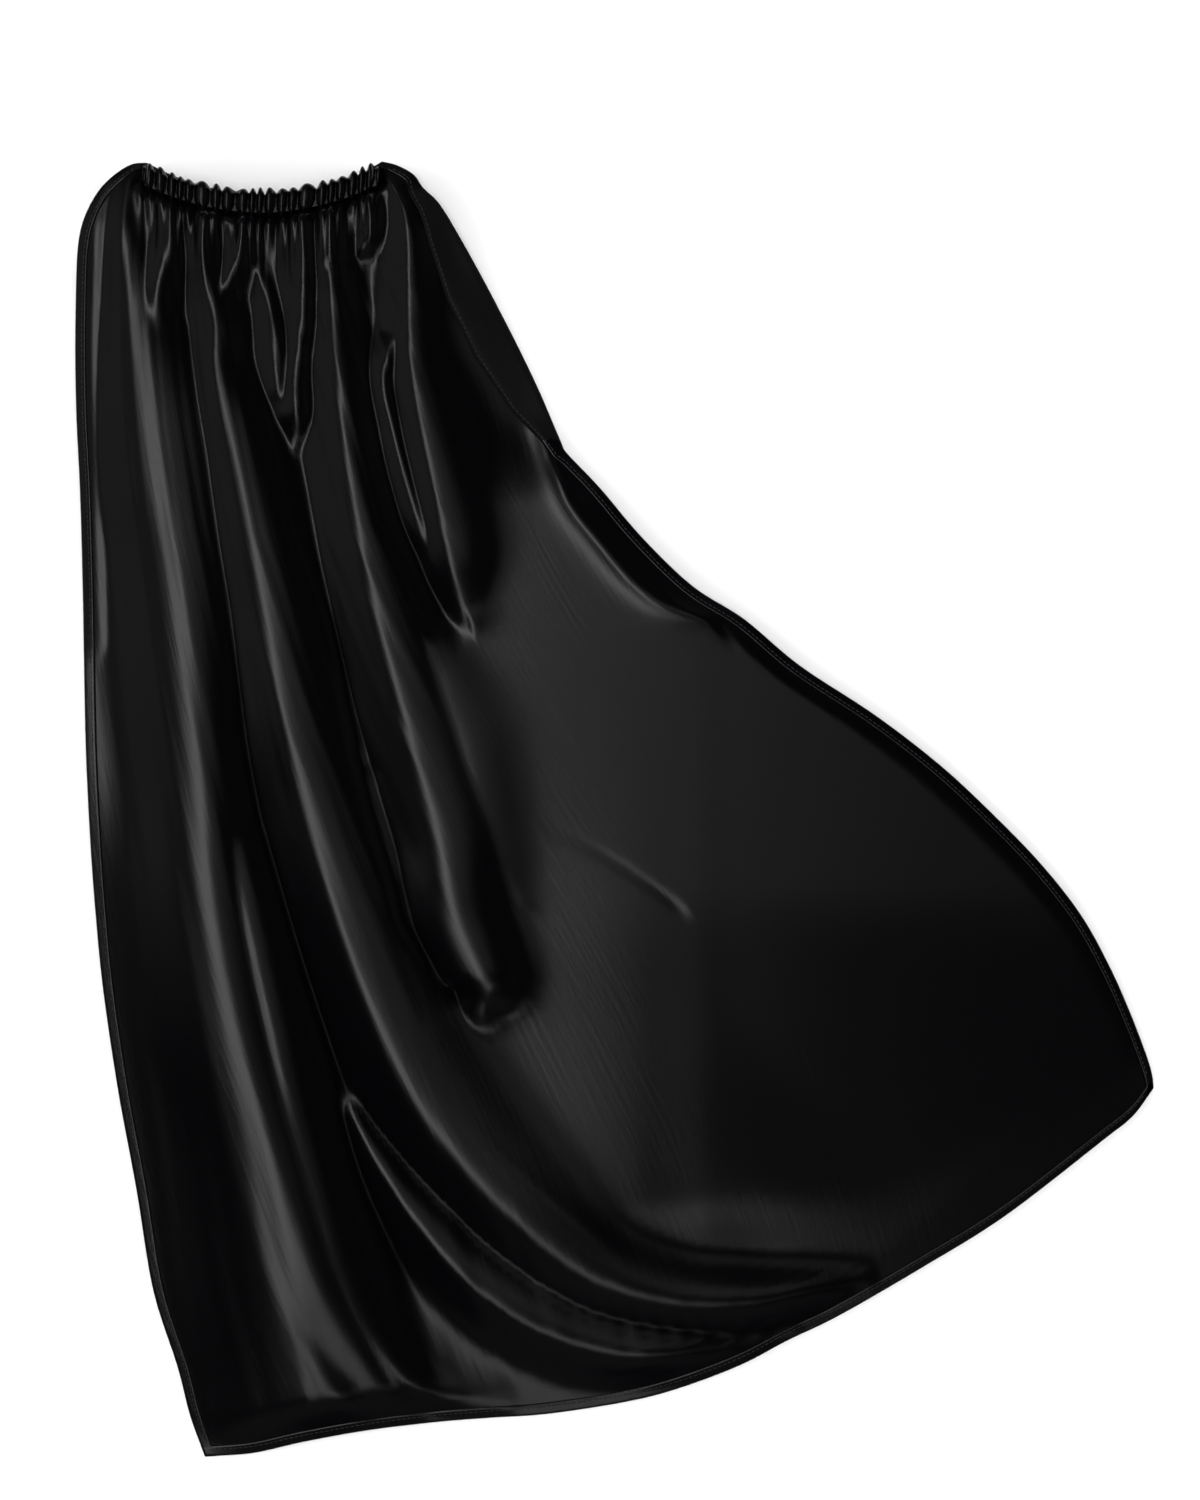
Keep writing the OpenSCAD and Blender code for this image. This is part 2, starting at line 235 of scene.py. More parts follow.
# Folds of the cloth by their crests. Each point is x, y, the height of the crest, and how
# broad the fold is to the west and to the east of a walk down the cape.
FOLDS = [
    # the flat strip by the left hem
    [(-279, 330, 4, 8, 7), (-281, 300, 5, 12, 9), (-283, 250, 5.5, 16, 10),
     (-282, 200, 5, 16, 10), (-281, 150, 3.5, 14, 10), (-278, 90, 1.5, 12, 10)],
    # the long fold by the left edge, with the second crest in its lower half
    [(-262, 338, 4, 7, 6), (-264, 318, 6, 8, 8), (-263, 290, 8.5, 10, 14),
     (-258, 250, 10, 18, 25), (-252, 215, 11, 24, 29), (-246, 180, 11, 27, 28),
     (-237, 140, 11, 27, 24), (-229, 75, 12, 27, 21), (-222, 10, 12, 27, 19),
     (-216, -50, 13, 28, 19), (-204, -115, 14, 29, 20), (-187, -175, 14, 30, 20),
     (-165, -245, 14, 38, 20), (-148, -283, 12, 50, 20), (-125, -315, 8, 55, 18),
     (-114, -331, 6, 55, 18)],
    [(-205, -20, 9, 6, 14), (-197, -60, 10.5, 7, 16), (-184, -120, 11.5, 7, 18),
     (-170, -180, 11.5, 7, 18), (-150, -245, 11.5, 7, 18), (-128, -290, 9, 7, 16),
     (-100, -316, 6, 8, 12), (-58, -324, 3, 8, 8)],
    # its first gather, a drop shape under the left peak
    [(-245, 342, 4, 5, 5), (-240, 318, 5, 6, 6), (-240, 300, 8, 8, 8), (-246, 280, 9, 9, 9),
     (-248, 262, 8, 10, 10)],
    [(-231, 340, 2.5, 3, 3), (-229, 318, 4, 4, 4), (-225, 298, 3, 4, 4), (-222, 288, 0.5, 3, 3)],
    # the long fold that sweeps to the tail, and the loop of gathers that it starts from
    [(-211, 338, 5, 5, 6), (-219, 318, 7, 5, 6), (-221, 300, 8, 6, 7), (-219, 282, 8, 8, 8),
     (-214, 262, 9, 9, 11), (-214, 240, 10, 9, 13), (-210, 218, 11, 11, 17),
     (-204, 193, 11, 13, 19), (-195, 150, 12, 14, 21), (-186, 105, 12, 15, 22),
     (-176, 50, 13, 15, 24), (-163, 0, 13, 15, 26), (-146, -58, 14, 15, 30),
     (-127, -108, 14, 16, 32), (-105, -153, 14, 16, 34), (-78, -190, 14, 16, 34),
     (-45, -224, 14, 15, 32), (-10, -250, 13, 14, 26), (30, -263, 11, 12, 20),
     (70, -264, 9, 11, 15), (105, -259, 6, 10, 11), (135, -255, 2.5, 8, 8)],
    [(-105, -138, 12.5, 6, 10), (-70, -180, 13.2, 6, 10), (-45, -205, 13.2, 6, 12),
     (-20, -226, 12.4, 6, 12), (0, -240, 11, 6, 10), (20, -250, 8.5, 6, 8)],
    [(-198, 334, 5, 5, 5), (-200, 310, 6.5, 5, 6), (-204, 292, 7, 6, 6), (-213, 277, 6, 6, 6)],
    # two short gathers
    [(-193, 292, 3, 4, 5), (-187, 275, 5, 6, 7), (-183, 255, 7, 8, 8), (-181, 230, 7, 8, 8),
     (-178, 212, 4, 7, 7)],
    [(-172, 334, 4, 5, 5), (-168, 312, 6.5, 6, 6), (-167, 290, 8, 7, 7), (-168, 262, 8, 8, 7),
     (-171, 235, 8, 8, 7), (-171, 215, 8.5, 9, 8), (-172, 198, 3, 8, 7)],
    [(-180, 180, 5, 9, 9), (-171, 135, 6, 10, 9), (-166, 95, 6.5, 9, 9), (-163, 55, 5, 8, 8)],
    # the middle fold, with the hook that it ends in
    [(-154, 338, 5, 6, 6), (-153, 300, 8, 8, 8), (-151, 265, 9, 8, 11), (-148, 235, 11, 10, 13),
     (-143, 190, 12, 11, 15), (-136, 150, 13, 12, 18), (-127, 110, 13, 13, 22),
     (-115, 65, 13, 14, 26), (-102, 20, 13, 16, 28), (-92, -15, 13.5, 17, 28),
     (-87, -40, 14, 19, 24), (-82, -60, 14, 20, 22), (-74, -78, 14, 20, 20),
     (-68, -93, 13.5, 17, 17), (-72, -106, 10, 10, 10)],
    [(-141, 342, 4, 4, 4), (-132, 325, 6, 4, 5), (-131, 310, 6, 5, 5), (-138, 298, 3, 4, 4)],
    # the two gathers under the right peak
    [(-113, 268, 5, 5, 5), (-120, 250, 8, 6, 6), (-124, 230, 9, 7, 6), (-119, 205, 9, 7, 6),
     (-112, 178, 9.5, 8, 7), (-103, 150, 9.5, 8, 7), (-93, 125, 6, 8, 8)],
    [(-127, 346, 4, 5, 5), (-117, 333, 6, 5, 7), (-111, 312, 8, 6, 9), (-110, 275, 10, 7, 13),
     (-109, 245, 11, 8, 16), (-105, 218, 12, 9, 20), (-98, 185, 13, 9, 22), (-91, 152, 13, 10, 24),
     (-86, 130, 12, 10, 22), (-80, 108, 8, 10, 16)],
    [(-100, 85, 9.5, 10, 20), (-85, 50, 9.5, 14, 28), (-75, 20, 9.5, 14, 26),
     (-62, -25, 8, 14, 20), (-52, -48, 6, 12, 14)],
    # the low fold by the tail hem
    [(-142, -162, 5, 5, 6), (-126, -192, 8, 7, 11), (-105, -222, 10, 8, 16),
     (-78, -253, 11, 9, 20), (-45, -276, 11, 10, 22), (-10, -289, 10, 10, 20),
     (30, -295, 9, 9, 16), (65, -292, 6.5, 8, 12), (95, -284, 3, 6, 8)],
    # the thin crest along the upper right edge
    [(-42, 206, 1, 5, 6), (-33, 188, 5, 5, 7), (-25, 165, 7.5, 5, 7), (-8, 143, 8, 5, 7),
     (10, 122, 8, 5, 7), (30, 108, 7.5, 5, 7), (58, 102, 5, 5, 6)],
]

# Creases pressed into the cloth: x, y, depth and half width.
CREASES = [
    [(-197, 90, 0, 4), (-190, 60, 0.8, 4), (-181, 22, 0.8, 4), (-172, -15, 0, 4)],
    [(-158, 155, 0, 4), (-149, 95, 0.6, 4), (-140, 40, 0.8, 4), (-132, 5, 0.8, 4),
     (-118, -40, 1.0, 4), (-112, -62, 1.4, 4), (-95, -85, 0.8, 4), (-75, -115, 0, 4)],
    [(-138, 28, 0.8, 3), (-125, 18, 0, 3)],
    [(-38, -11, 0, 3), (-10, -22, 0.35, 3), (12, -36, 0.5, 2.6), (32, -51, 0.8, 2.6),
     (40, -58, 0, 3)],
    [(57, 100, 1.2, 3.5), (67, 84, 0, 3.5)],
    [(-152, 293, 1.0, 3), (-138, 296, 1.0, 3)],
]


def nearest(line, x, y, reach):
    """For each x, y within reach of a line: which part of it is nearest, how far and where."""
    near = np.flatnonzero(
        (x > line[:, 0].min() - reach) & (x < line[:, 0].max() + reach)
        & (y > line[:, 1].min() - reach) & (y < line[:, 1].max() + reach))
    best, share = np.zeros(len(near), int), np.zeros(len(near))
    off, side = np.zeros(len(near)), np.zeros(len(near))
    a, d = line[:-1, :2], np.diff(line[:, :2], axis=0)
    for part in np.array_split(np.arange(len(near)), max(1, len(near) // 4000)):
        px, py = x[near[part], None], y[near[part], None]
        along = np.clip(((px - a[:, 0]) * d[:, 0] + (py - a[:, 1]) * d[:, 1])
                        / (d ** 2).sum(axis=1), 0, 1)
        dx = px - a[:, 0] - along * d[:, 0]
        dy = py - a[:, 1] - along * d[:, 1]
        pick = np.argmin(dx ** 2 + dy ** 2, axis=1)
        row = np.arange(len(part))
        best[part], share[part] = pick, along[row, pick]
        off[part] = np.hypot(dx[row, pick], dy[row, pick])
        side[part] = d[pick, 0] * dy[row, pick] - d[pick, 1] * dx[row, pick]
    return near, best, share, off, side


# The flanks of a fold are this steep, and its width is measured this far under its crest.
STEEP, WIDTH_DOWN = 0.55, 6.0
FOLD_REACH, CREASE_REACH = 110, 20
FAR_BELOW = -50.0
# How softly one fold runs into the next, and a fold into the cloth at its foot.
FOLD_SOFTEN, FOOT_SOFTEN = 0.4, 1.8


def crest(points, x, y):
    """Height of one fold at each x, y: round at its crest, with straight flanks."""
    line = spline(points, 120)
    near, best, share, off, side = nearest(line, x, y, FOLD_REACH)
    high, west, east = ((1 - share) * line[best, k] + share * line[best + 1, k]
                        for k in (2, 3, 4))
    round_off = STEEP * np.where(side > 0, east, west) ** 2 / (2 * WIDTH_DOWN)
    out = np.full(x.shape, FAR_BELOW)
    out[near] = high - STEEP * (np.hypot(off, round_off) - round_off)
    return out


def groove(points, x, y):
    """Depth of one crease at each x, y."""
    line = spline(points, 60)
    near, best, share, off, _ = nearest(line, x, y, CREASE_REACH)
    deep, wide = ((1 - share) * line[best, k] + share * line[best + 1, k] for k in (2, 3))
    out = np.zeros(x.shape)
    out[near] = np.maximum(deep, 0) * np.exp(-(off / wide) ** 2)
    return out


def smooth(a, b, t):
    """From 0 at a to 1 at b, with a soft start and end."""
    s = np.clip((t - a) / (b - a), 0, 1)
    return s * s * (3 - 2 * s)


def soft(distance, reach):
    """Nothing before 0 and the distance itself after it, with a soft turn between."""
    return reach * np.logaddexp(0, distance / reach)


def either(a, b, reach):
    """A soft lesser of two distances, which is the distance itself where the two are equal."""
    return reach * (math.log(2) - np.log(np.exp(-a / reach) + np.exp(-b / reach)))


# The crests that part the close folds on the left from the open cloth on the right: y, x.
PARTING = np.array([(-330, 160), (-266, 120), (-262, 30), (-250, -10), (-224, -45), (-190, -78),
                    (-153, -105), (-122, -112), (-104, -92), (-92, -78), (-60, -84), (-15, -92),
                    (20, -102), (65, -100), (110, -84), (150, -91), (218, -105), (350, -118)])
# The crest of the long fold by the left edge, from the hem up past its middle: y, x.
LEFT_CREST = np.array([(-349, -110), (-315, -125), (-283, -148), (-245, -165), (-175, -187),
                       (-115, -204), (-50, -216), (10, -222), (75, -229)])
# The open cloth lies this high. It rises a little towards the tail, as far as the hollow.
OPEN_HIGH, RISE_SLOPE, RISE_END, DIP_SLOPE = 5.5, 0.03, -108, 0.03
# The hollow by the tail: where it starts to the east and to the south, its depth and slope.
HOLLOW_X, HOLLOW_Y, HOLLOW_DEEP, HOLLOW_SLOPE, HOLLOW_ROUND = 50, -106, 5.0, 0.06, 8
# The cloth drops to the right edge, and down a brim above the hem.
EAST_DROP, BRIM_SLOPE, BRIM_LEAST, BRIM_MORE = 5.0, 0.075, 28, 80
# The left edge leans up to the long fold, and the cloth is tucked down by the folded edge.
LEAN_SLOPE, LEAN_WIDE = 0.17, 62
TUCK_SLOPE, TUCK_X, TUCK_WIDE = 0.12, -102, 60


def lie(x, y, foot, inward):
    """Height of the cloth between the folds, and how far a point is in the open cloth.

    Between the folds on the left it is on the floor. On the right it is a flat stretch with a low
    rise and a hollow by the tail. It drops to the floor by the hem. The foot is how far up from
    the hem a point is, and inward how far in from the left edge. The two numbers in smooth say
    where a change starts and where it is complete."""
    open_side = smooth(-14, 14, x - np.interp(y, PARTING[:, 0], PARTING[:, 1]))
    held_up = smooth(-275, -205, y) * (1 - 0.85 * smooth(262, 305, y))
    rise = RISE_SLOPE * (soft(-y, 25) - soft(RISE_END - y, 25)) * smooth(-70, 20, x)
    dip = DIP_SLOPE * (soft(x + 60, 15) - soft(x - 10, 15)) * smooth(-40, -115, y)
    into = either(soft(x - HOLLOW_X, 3.0), soft(HOLLOW_Y - y, 14.0), HOLLOW_ROUND)
    hollow_drop = HOLLOW_DEEP * (1 - np.exp(-HOLLOW_SLOPE * np.maximum(into, 0) / HOLLOW_DEEP))
    east = EAST_DROP * smooth(60, 290, x)
    brim_from = BRIM_LEAST + BRIM_MORE * np.exp(-(x - 40) / 70)
    brim = BRIM_SLOPE * soft(brim_from - foot, 6.0) * smooth(10, 90, x)
    tuck = TUCK_SLOPE * np.clip(x - TUCK_X, 0, TUCK_WIDE) * smooth(160, 215, y)
    left_crest = np.interp(y, LEFT_CREST[:, 0], LEFT_CREST[:, 1])
    lean = (LEAN_SLOPE * np.clip(inward, 0, LEAN_WIDE)
            * smooth(left_crest + 6, left_crest - 24, x) * smooth(40, -50, y))
    open_cloth = held_up * open_side * (OPEN_HIGH + rise - dip - hollow_drop - east)
    return np.maximum(1.0 - tuck + open_cloth - brim, -3.0) + lean, open_side


def ripples(u, v):
    """Long shallow ripples that run down the folds from the gathers."""
    return (0.05 * np.sin(2 * math.pi * (26 * u + 0.6 * np.sin(5 * v + 1)))
            + 0.03 * np.sin(2 * math.pi * (43 * u + 0.5 * np.sin(8 * v))))


# The gathers along the neck, the neck's curve and the casing that is stitched along it.
GATHERS = 21
NECK_X, NECK_TOP, NECK_DIP, NECK_HALF = -190, 348.5, 16, 65
CASING_HALF, CASING_DEEP = 64, 14
# The cloth is this high on the floor and on the straps under the casing, and it comes out from
# under the casing this much higher.
ON_FLOOR, ON_STRAPS, BELOW_CASING = 0.8, 5.8, 1.2
# The cut is this wide at the neck and at the tail, and this long, as the folds leave it.
NECK_ACROSS, TAIL_ACROSS, DOWN = 130, 550, 680
# The small gathers below the casing fade over SMALL_FADE, and swell as they come out of it.
SMALL_GATHER, SMALL_FADE, UNDER_CASING, SWELL = 1.2, 12, 0.45, 1.5


def neck_y(x):
    """The neck's curve, as the casing follows it."""
    return NECK_TOP - NECK_DIP * (1 - ((x - NECK_X) / NECK_HALF) ** 2)


def pucker(x):
    """How far the gathers stand out along the neck, from -1 to 1, not quite evenly spaced."""
    t = (x - NECK_X) / (2 * CASING_HALF)
    phase = GATHERS * t + 0.28 * np.sin(17 * t) + 0.16 * np.sin(41 * t + 1)
    return 2 * np.abs(np.cos(math.pi * phase)) - 1


def folded(u, v, x, y, foot, inward):
    """Height of the folds and of the cloth between them, with the creases pressed in."""
    total = sum(np.exp(crest(points, x, y) / FOLD_SOFTEN) for points in FOLDS)
    folds = FOLD_SOFTEN * np.log(total + 1e-40)
    base, open_side = lie(x, y, foot, inward)
    folds = base + soft(folds - base, FOOT_SOFTEN)
    folds = folds - sum(groove(points, x, y) for points in CREASES)
    return folds + ripples(u, v) * (1 - open_side) * smooth(0.02, 0.12, v)


def height(u, v, x, y):
    """Height of the cloth above the floor.

    It comes down to the floor at its edges. Under the casing it lies on the straps, and just
    below the casing the gathers are close and small."""
    shape = x.shape
    x, y = x.ravel(), y.ravel()
    u, v = np.broadcast_to(u, shape).ravel(), np.broadcast_to(v, shape).ravel()
    across = np.interp(v, [0, 1], [NECK_ACROSS, TAIL_ACROSS])
    foot, inward = (1 - v) * DOWN, u * across
    folds = folded(u, v, x, y, foot, inward)
    edge = (smooth(-4, 22, foot) * (1 - np.exp(-(inward + 1) / 11))
            * smooth(-6, 14, across - inward))
    below = neck_y(x) - CASING_DEEP - y
    beside = smooth(CASING_HALF - 2, CASING_HALF + 6, np.abs(x - NECK_X))
    at_casing = 1 - beside
    free = np.maximum(smooth(-6, 2, below), beside)
    lifted = ON_FLOOR + 6.0 * smooth(265, 318, y)
    small = pucker(x) * np.exp(-np.maximum(below, 0) / SMALL_FADE) * smooth(-4, 2, below)
    swell = smooth(-1, 4, below) * smooth(30, 4, below)
    z = np.minimum(lifted, ON_STRAPS + BELOW_CASING * free) + np.maximum(folds, 0) * edge * free
    z = z + (SMALL_GATHER * small + SWELL * swell) * at_casing
    return (z + UNDER_CASING * (1 + pucker(x)) * (1 - free)).reshape(shape)


def cloth(u, v):
    """Points of the cloth in mm."""
    flat = plan(u, v)
    z = height(u, v, flat[..., 0], flat[..., 1])
    return np.concatenate([flat, z[..., None]], axis=-1)


# The flat cut in metres: as wide as this at the neck and at the tail, and this long.
FLAT_NECK, FLAT_W, FLAT_L = 0.32, 0.60, 0.70
# Points closer than this, in mm, are one point.
SAME = 0.02


def hollow(z):
    """From 0 to 1, how far a point of a grid is down between the cloth on both sides of it: the
    mask for the painted shade in the creases.
    """
    wide, tall = np.pad(z, ((0, 0), (2, 2)), mode="edge"), np.pad(z, ((1, 1), (0, 0)), mode="edge")
    over = np.maximum(wide[:, :-4] + wide[:, 4:], tall[:-2] + tall[2:]) - 2 * z
    shut = smooth(0.4, 2.0, over)
    for _ in range(2):
        shut = np.pad(shut, 1, mode="edge")
        shut = (shut[1:-1, :-2] + 2 * shut[1:-1, 1:-1] + shut[1:-1, 2:]
                + shut[:-2, 1:-1] + shut[2:, 1:-1]) / 6
    return np.clip(1.5 * shut, 0, 1)


def grid_piece(name, points, uv, *materials, around=False):
    """A surface through a grid of points in mm, with the cloth's own uv in metres.

    It starts as a flat grid, whose vertices move to the points. A piece that goes around is
    closed into a tube: its last column meets its first and its ends are capped. Each vertex
    keeps how far it is down in a hollow, which the satin's gloss reads to paint shade into
    the creases."""
    bm = bmesh.new()
    nv, nu = points.shape[:2]
    bmesh.ops.create_grid(bm, x_segments=nu - 1, y_segments=nv - 1, size=0.5)
    layer = bm.loops.layers.uv.new("cloth")
    # The mask of the painted shade in the creases, kept on each vertex.
    crease_shade = bm.verts.layers.float.new("crease_shade")
    shut = hollow(points[..., 2])
    place = {vert: (round((0.5 - vert.co.y) * (nv - 1)), round((vert.co.x + 0.5) * (nu - 1)))
             for vert in bm.verts}
    for face in bm.faces:
        face.smooth = True
        for loop in face.loops:
            loop[layer].uv = uv[place[loop.vert]]
    for vert, spot in place.items():
        vert.co = Vector(points[spot]) * MM
        vert[crease_shade] = shut[spot]
    if around:
        bmesh.ops.remove_doubles(bm, verts=bm.verts, dist=SAME * MM)
        bmesh.ops.holes_fill(bm, edges=[edge for edge in bm.edges if edge.is_boundary], sides=0)
    bmesh.ops.recalc_face_normals(bm, faces=bm.faces)
    if not around and sum(face.normal.z for face in bm.faces) < 0:
        bmesh.ops.reverse_faces(bm, faces=bm.faces)
    return piece_from(bm, name, *materials)


def cloth_uv(u, v):
    """Where a point of the cloth is on the flat cut, in metres."""
    u, v = np.broadcast_arrays(u, v)
    wide = np.interp(v, [0, 1], [FLAT_NECK, FLAT_W])
    return np.stack([(u - 0.5) * wide, (1 - v) * FLAT_L], axis=-1)


def cross_lift(piece):
    """Bakes the placing of the piece into its mesh. The piece crosses the line that the neck lifts
    on.
    """
    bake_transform(piece)


def weave(tree, shader, streak, grain):
    """Relief of the satin in mm: long faint streaks down the cloth, and the grain of its yarns."""
    flat = add(tree, "ShaderNodeUVMap", {"uv_map": "cloth"}).outputs["UV"]
    along = add(tree, "ShaderNodeMapping", Vector=flat, Scale=(1, 0.05, 1)).outputs["Vector"]
    streaks = add(tree, "ShaderNodeTexNoise", Vector=along, Scale=1 / (STREAK_WIDE * MM),
                  Detail=3.0)
    grains = add(tree, "ShaderNodeTexNoise", Vector=flat, Scale=1 / (GRAIN_WIDE * MM), Detail=2.0)
    lower = add(tree, "ShaderNodeBump", Height=streaks.outputs["Fac"], Distance=streak * MM,
                Strength=1.0)
    upper = add(tree, "ShaderNodeBump", Height=grains.outputs["Fac"], Distance=grain * MM,
                Strength=1.0, Normal=lower.outputs["Normal"])
    tree.links.new(upper.outputs["Normal"], shader.inputs["Normal"])


# Black polyester satin: long floats of filament yarn give a smooth dark gloss with soft edges,
# and faint streaks along the warp. Its yarns are about 0.1 mm apart, too fine to show, so the
# grain is drawn coarser. In the hollows between folds the gloss is turned nearly off: painted
# shade, standing in for the shade that the folds on both sides cast into the creases.
STREAK_WIDE, GRAIN_WIDE = 2.381, 0.625
GLOSS, CREASE_SHADE_GLOSS = 0.3, 0.03
satin, tree, shader = new_material("black_satin")
shader.inputs["Base Color"].default_value = colour("#020203")
shader.inputs["Roughness"].default_value = 0.21
# Painted shade: the gloss falls to almost nothing in the creases, by the mask kept on each vertex.
crease_shade = add(tree, "ShaderNodeAttribute", {"attribute_name": "crease_shade"})
shine = add(tree, "ShaderNodeMapRange", Value=crease_shade.outputs["Fac"], To_Min=GLOSS,
            To_Max=CREASE_SHADE_GLOSS)
tree.links.new(shine.outputs["Result"], shader.inputs["Specular IOR Level"])
weave(tree, shader, 0.05, 0.04)

# The rows of the sheet are closer together at the gathers than at the tail.
COLUMNS, ROWS, CLOTH_T = 240, 205, 0.4
across = np.linspace(0, 1, COLUMNS + 1)[None, :]
steps = np.linspace(0, 1, ROWS + 1)[:, None]
down = 0.45 * steps ** 2.2 + 0.55 * steps
panel = grid_piece("satin_panel", cloth(across, down), cloth_uv(across, down), satin)
thick = panel.modifiers.new("thickness", "SOLIDIFY")
thick.thickness = CLOTH_T * MM
thick.offset = -1
cross_lift(panel)
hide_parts("cape_panel", "gathered_top")

# The hems: the edges of the panel turned twice and stitched down. Up the right edge, the
# cape is folded over on itself, so that its dull reverse and the hem lie uppermost.
#
# The reverse of satin shows its short floats, so it is matt and a little lighter.
reverse, tree, shader = new_material("satin_reverse")
shader.inputs["Base Color"].default_value = colour("#080809")
shader.inputs["Roughness"].default_value = 0.5
shader.inputs["Specular IOR Level"].default_value = 0.1
weave(tree, shader, 0.05, 0.06)
HEM_W, HEM_RISE, HEM_UNDER, HEM_LEAST = 6.0, 0.55, 0.45, 0.15
# Where the edge is folded over, the hem lies this much higher, and shows its reverse.
FLAP_RISE, REVERSE_FROM = 0.5, 3


def turned(y):
    """How far the right edge is folded over at a point up the cape."""
    return np.interp(y, [190, 203, 225, 255, 285, 310, 330, 340], [0, 4, 13, 18, 17, 11, 5, 0])


def edge_share(side, t, inward):
    """The u and v of a point this far in from an edge, at t along it."""
    t, inward = np.broadcast_arrays(t, inward)
    wide = np.linalg.norm(plan(1, t) - plan(0, t), axis=-1)
    if side == "left":
        return inward / wide, t
    if side == "right":
        return 1 - inward / wide, t
    return t, 1 - inward / 690


def hem(side, name):
    """A hem along one edge: a flat band with a round outer side, wrapped round the cloth."""
    t = np.linspace(0.0, 1.0, 420)[:, None]
    over = turned(plan(1, t)[..., 1]) if side == "right" else np.zeros_like(t)
    share = np.array([1.0, 0.97, 0.8, 0.6, 0.4, 0.2, 0.06, 0.0, 0.0, 0.06, 0.4, 0.8, 1.0])[None, :]
    rise = np.array([-0.1, 0.8, 1, 1, 1, 1, 0.9, 0.3, -0.5, -1, -1, -1, -0.9])[None, :]
    inward = share * (HEM_W + over)
    u, v = edge_share(side, t, inward)
    points = cloth(np.clip(u, 0, 1), np.clip(v, 0, 1))
    lift = np.where(rise > 0, rise * (HEM_RISE + FLAP_RISE * smooth(0, 6, over)), rise * HEM_UNDER)
    points[..., 2] = np.maximum(points[..., 2] + lift, HEM_LEAST)
    points = np.concatenate([points, points[:, :1]], axis=1)
    u, v = (np.concatenate([a, a[:, :1]], axis=1) for a in (u, v))
    if side != "right":
        return grid_piece(name, points, cloth_uv(u, v), satin, around=True)
    piece = grid_piece(name, points, cloth_uv(u, v), satin, reverse, around=True)
    for face in piece.data.polygons:
        face.material_index = int(turned(face.center.y / MM) > REVERSE_FROM)
    return piece


for side in ("left", "right"):
    piece = hem(side, side + "_edge_hem")
    cross_lift(piece)
    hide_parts(side + "_side_hem")
piece = hem("bottom", "tail_hem")
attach(piece, "cape")
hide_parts("bottom_hem")

# The stitching: a row of lockstitches along each hem and along the casing, each one a short
# length of thread that dips into the cloth at both ends.
#
# Spun polyester thread: matt, and a little lighter than the satin.
thread, _, shader = new_material("thread")
shader.inputs["Base Color"].default_value = colour("#1c1c1e")
shader.inputs["Roughness"].default_value = 0.5
PITCH, STITCH, THREAD_R, STITCH_DIP, STITCH_RISE = 2.8, 2.1, 0.24, 0.15, 0.12
SIDES = 6


def stitches(name, path):
    """Lockstitches along a path of points in mm that lies on the cloth."""
    run = np.concatenate([[0], np.cumsum(np.linalg.norm(np.diff(path, axis=0), axis=1))])
    bm = bmesh.new()
    for middle in np.arange(PITCH, run[-1] - PITCH, PITCH):
        start, top, end = (Vector([np.interp(middle + d, run, path[:, k]) for k in range(3)])
                           for d in (-STITCH / 2, 0, STITCH / 2))
        turn = (end - start).to_track_quat("Z", "Y")
        rings = ((start, -STITCH_DIP, 0.5), (top.lerp(start, 0.4), STITCH_RISE, 1),
                 (top.lerp(end, 0.4), STITCH_RISE, 1), (end, -STITCH_DIP, 0.5))
        tube = bmesh.ops.create_grid(bm, x_segments=SIDES, y_segments=len(rings) - 1, size=0.5)
        for vert in tube["verts"]:
            at, up, size = rings[round((vert.co.y + 0.5) * (len(rings) - 1))]
            angle = (vert.co.x + 0.5) * 2 * math.pi
            out = turn @ Vector((math.cos(angle), math.sin(angle), 0)) * THREAD_R * size
            vert.co = (at + out + Vector((0, 0, up))) * MM
    bmesh.ops.remove_doubles(bm, verts=bm.verts, dist=SAME * MM)
    bmesh.ops.holes_fill(bm, edges=[edge for edge in bm.edges if edge.is_boundary], sides=0)
    bmesh.ops.recalc_face_normals(bm, faces=bm.faces)
    for face in bm.faces:
        face.smooth = True
    piece = piece_from(bm, name, thread)
    return piece


# The rows run this far out from the hem's inner fold, and lie this high on the hem.
FROM_FOLD, ON_HEM = 2.2, 0.05
for side in ("left", "right", "bottom"):
    t = np.linspace(0.012, 0.99, 900)
    over = turned(plan(1, t)[..., 1]) if side == "right" else 0
    u, v = edge_share(side, t, HEM_W + over - FROM_FOLD)
    path = cloth(u, v)
    path[:, 2] += HEM_RISE + FLAP_RISE * smooth(0, 6, np.asarray(over)) + ON_HEM
    piece = stitches(side + "_stitches", path)
    if side == "bottom":
        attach(piece, "cape")
    else:
        cross_lift(piece)
    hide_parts(side + "_hem_stitching")

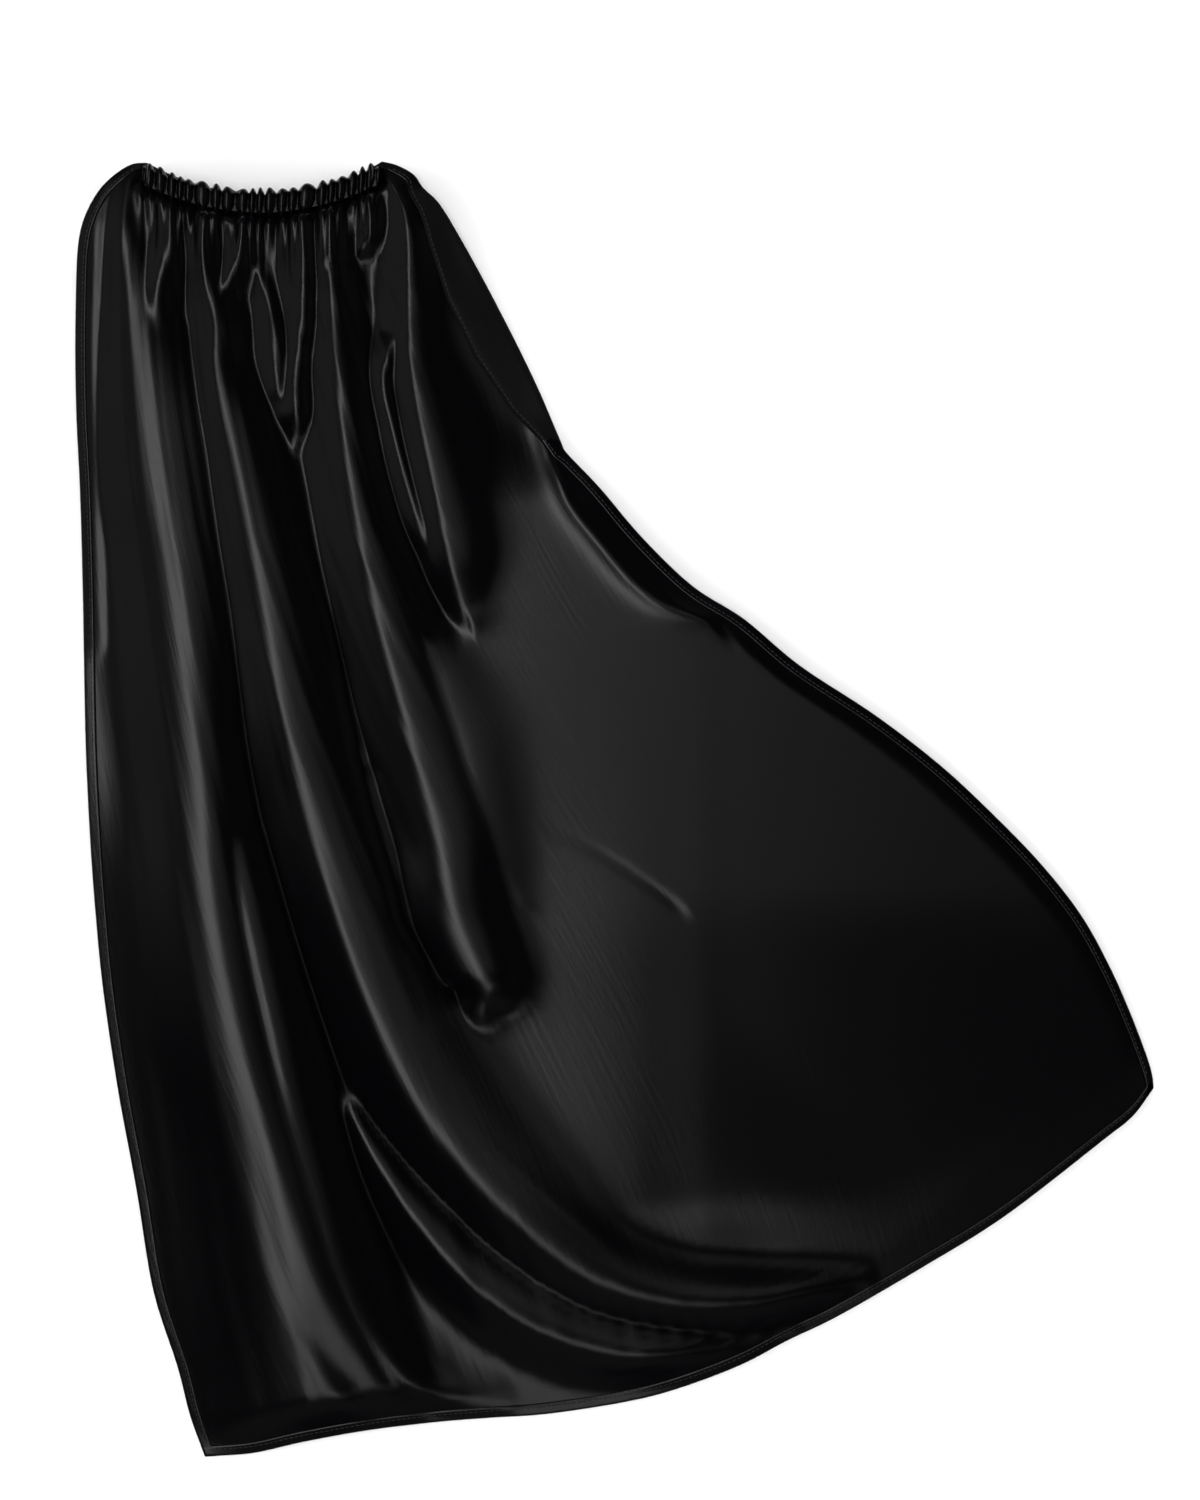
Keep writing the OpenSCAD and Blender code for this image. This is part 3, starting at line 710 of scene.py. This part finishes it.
# The neck casing: the top of the panel turned over the elastic and stitched. The elastic
# pulls it into close gathers, which make its edge uneven.
CASING = [(13.6, 7.0), (12.8, 9.2), (11.0, 10.9), (8.0, 11.6), (5.0, 11.8), (3.0, 11.7),
          (1.2, 10.9), (0.2, 9.7), (0.3, 8.2), (1.5, 7.0), (5.0, 6.9), (10.0, 6.9), (13.0, 6.9)]


# The lobes between the gathers stand this far out at the top, at the frilled edge and at the
# lower edge, and the casing lies this high on the cloth.
LOBE, FRILL, HANG = 1.5, 1.1, 1.2
CASING_FOOT = 6.9
AROUND, LOBE_STEPS = 41, 12


def casing_points():
    """Points of the casing in mm, its section around by its length along, and their uv."""
    along = np.linspace(-1, 1, LOBE_STEPS * GATHERS + 1)[:, None]
    section = np.array(CASING + CASING[:1])
    around = np.linspace(0, 1, AROUND)[None, :]
    down, high = (np.interp(around, np.linspace(0, 1, len(section)), column)
                  for column in section.T)
    x = NECK_X + along * CASING_HALF
    end = np.sqrt(np.clip(1 - np.abs(along) ** 60, 0.01, 1))
    wave = pucker(x + 0.06 * (down - CASING_DEEP / 2))
    top = smooth(CASING_FOOT, CASING_FOOT + 0.7, high)
    frill = FRILL * smooth(9, 0, down) * (1.2 + 0.6 * np.sin(0.23 * x + 1))
    hang = HANG * smooth(9, 13, down) * (0.8 + 0.6 * np.sin(0.31 * x))
    middle = CASING_DEEP / 2
    y = neck_y(x) - middle + end * (middle - down + (frill - hang) * wave) + 0.4
    z = np.maximum(CASING_FOOT + end ** 0.5 * (high - CASING_FOOT + LOBE * wave * top), CASING_FOOT)
    uv = np.stack(np.broadcast_arrays(along * FLAT_NECK / 2, around * 0.034 + FLAT_L), axis=-1)
    return np.stack([np.broadcast_to(x, y.shape), y, z], axis=-1), uv


points, uv = casing_points()
casing = grid_piece("gathered_casing", points, uv, satin, around=True)
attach(casing, "neck")
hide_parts("neck_casing")

# Its row of stitches stops short of its ends, and lies over the lobes.
ROW_SHORT, ROW_DOWN, ROW_HIGH = 2, 10.2, 10.3
x = np.linspace(NECK_X - CASING_HALF + ROW_SHORT, NECK_X + CASING_HALF - ROW_SHORT, 500)
path = np.stack([x, neck_y(x) - ROW_DOWN, ROW_HIGH + LOBE * pucker(x)], axis=-1)
piece = stitches("casing_stitches", path)
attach(piece, "neck")
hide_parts("casing_stitching")
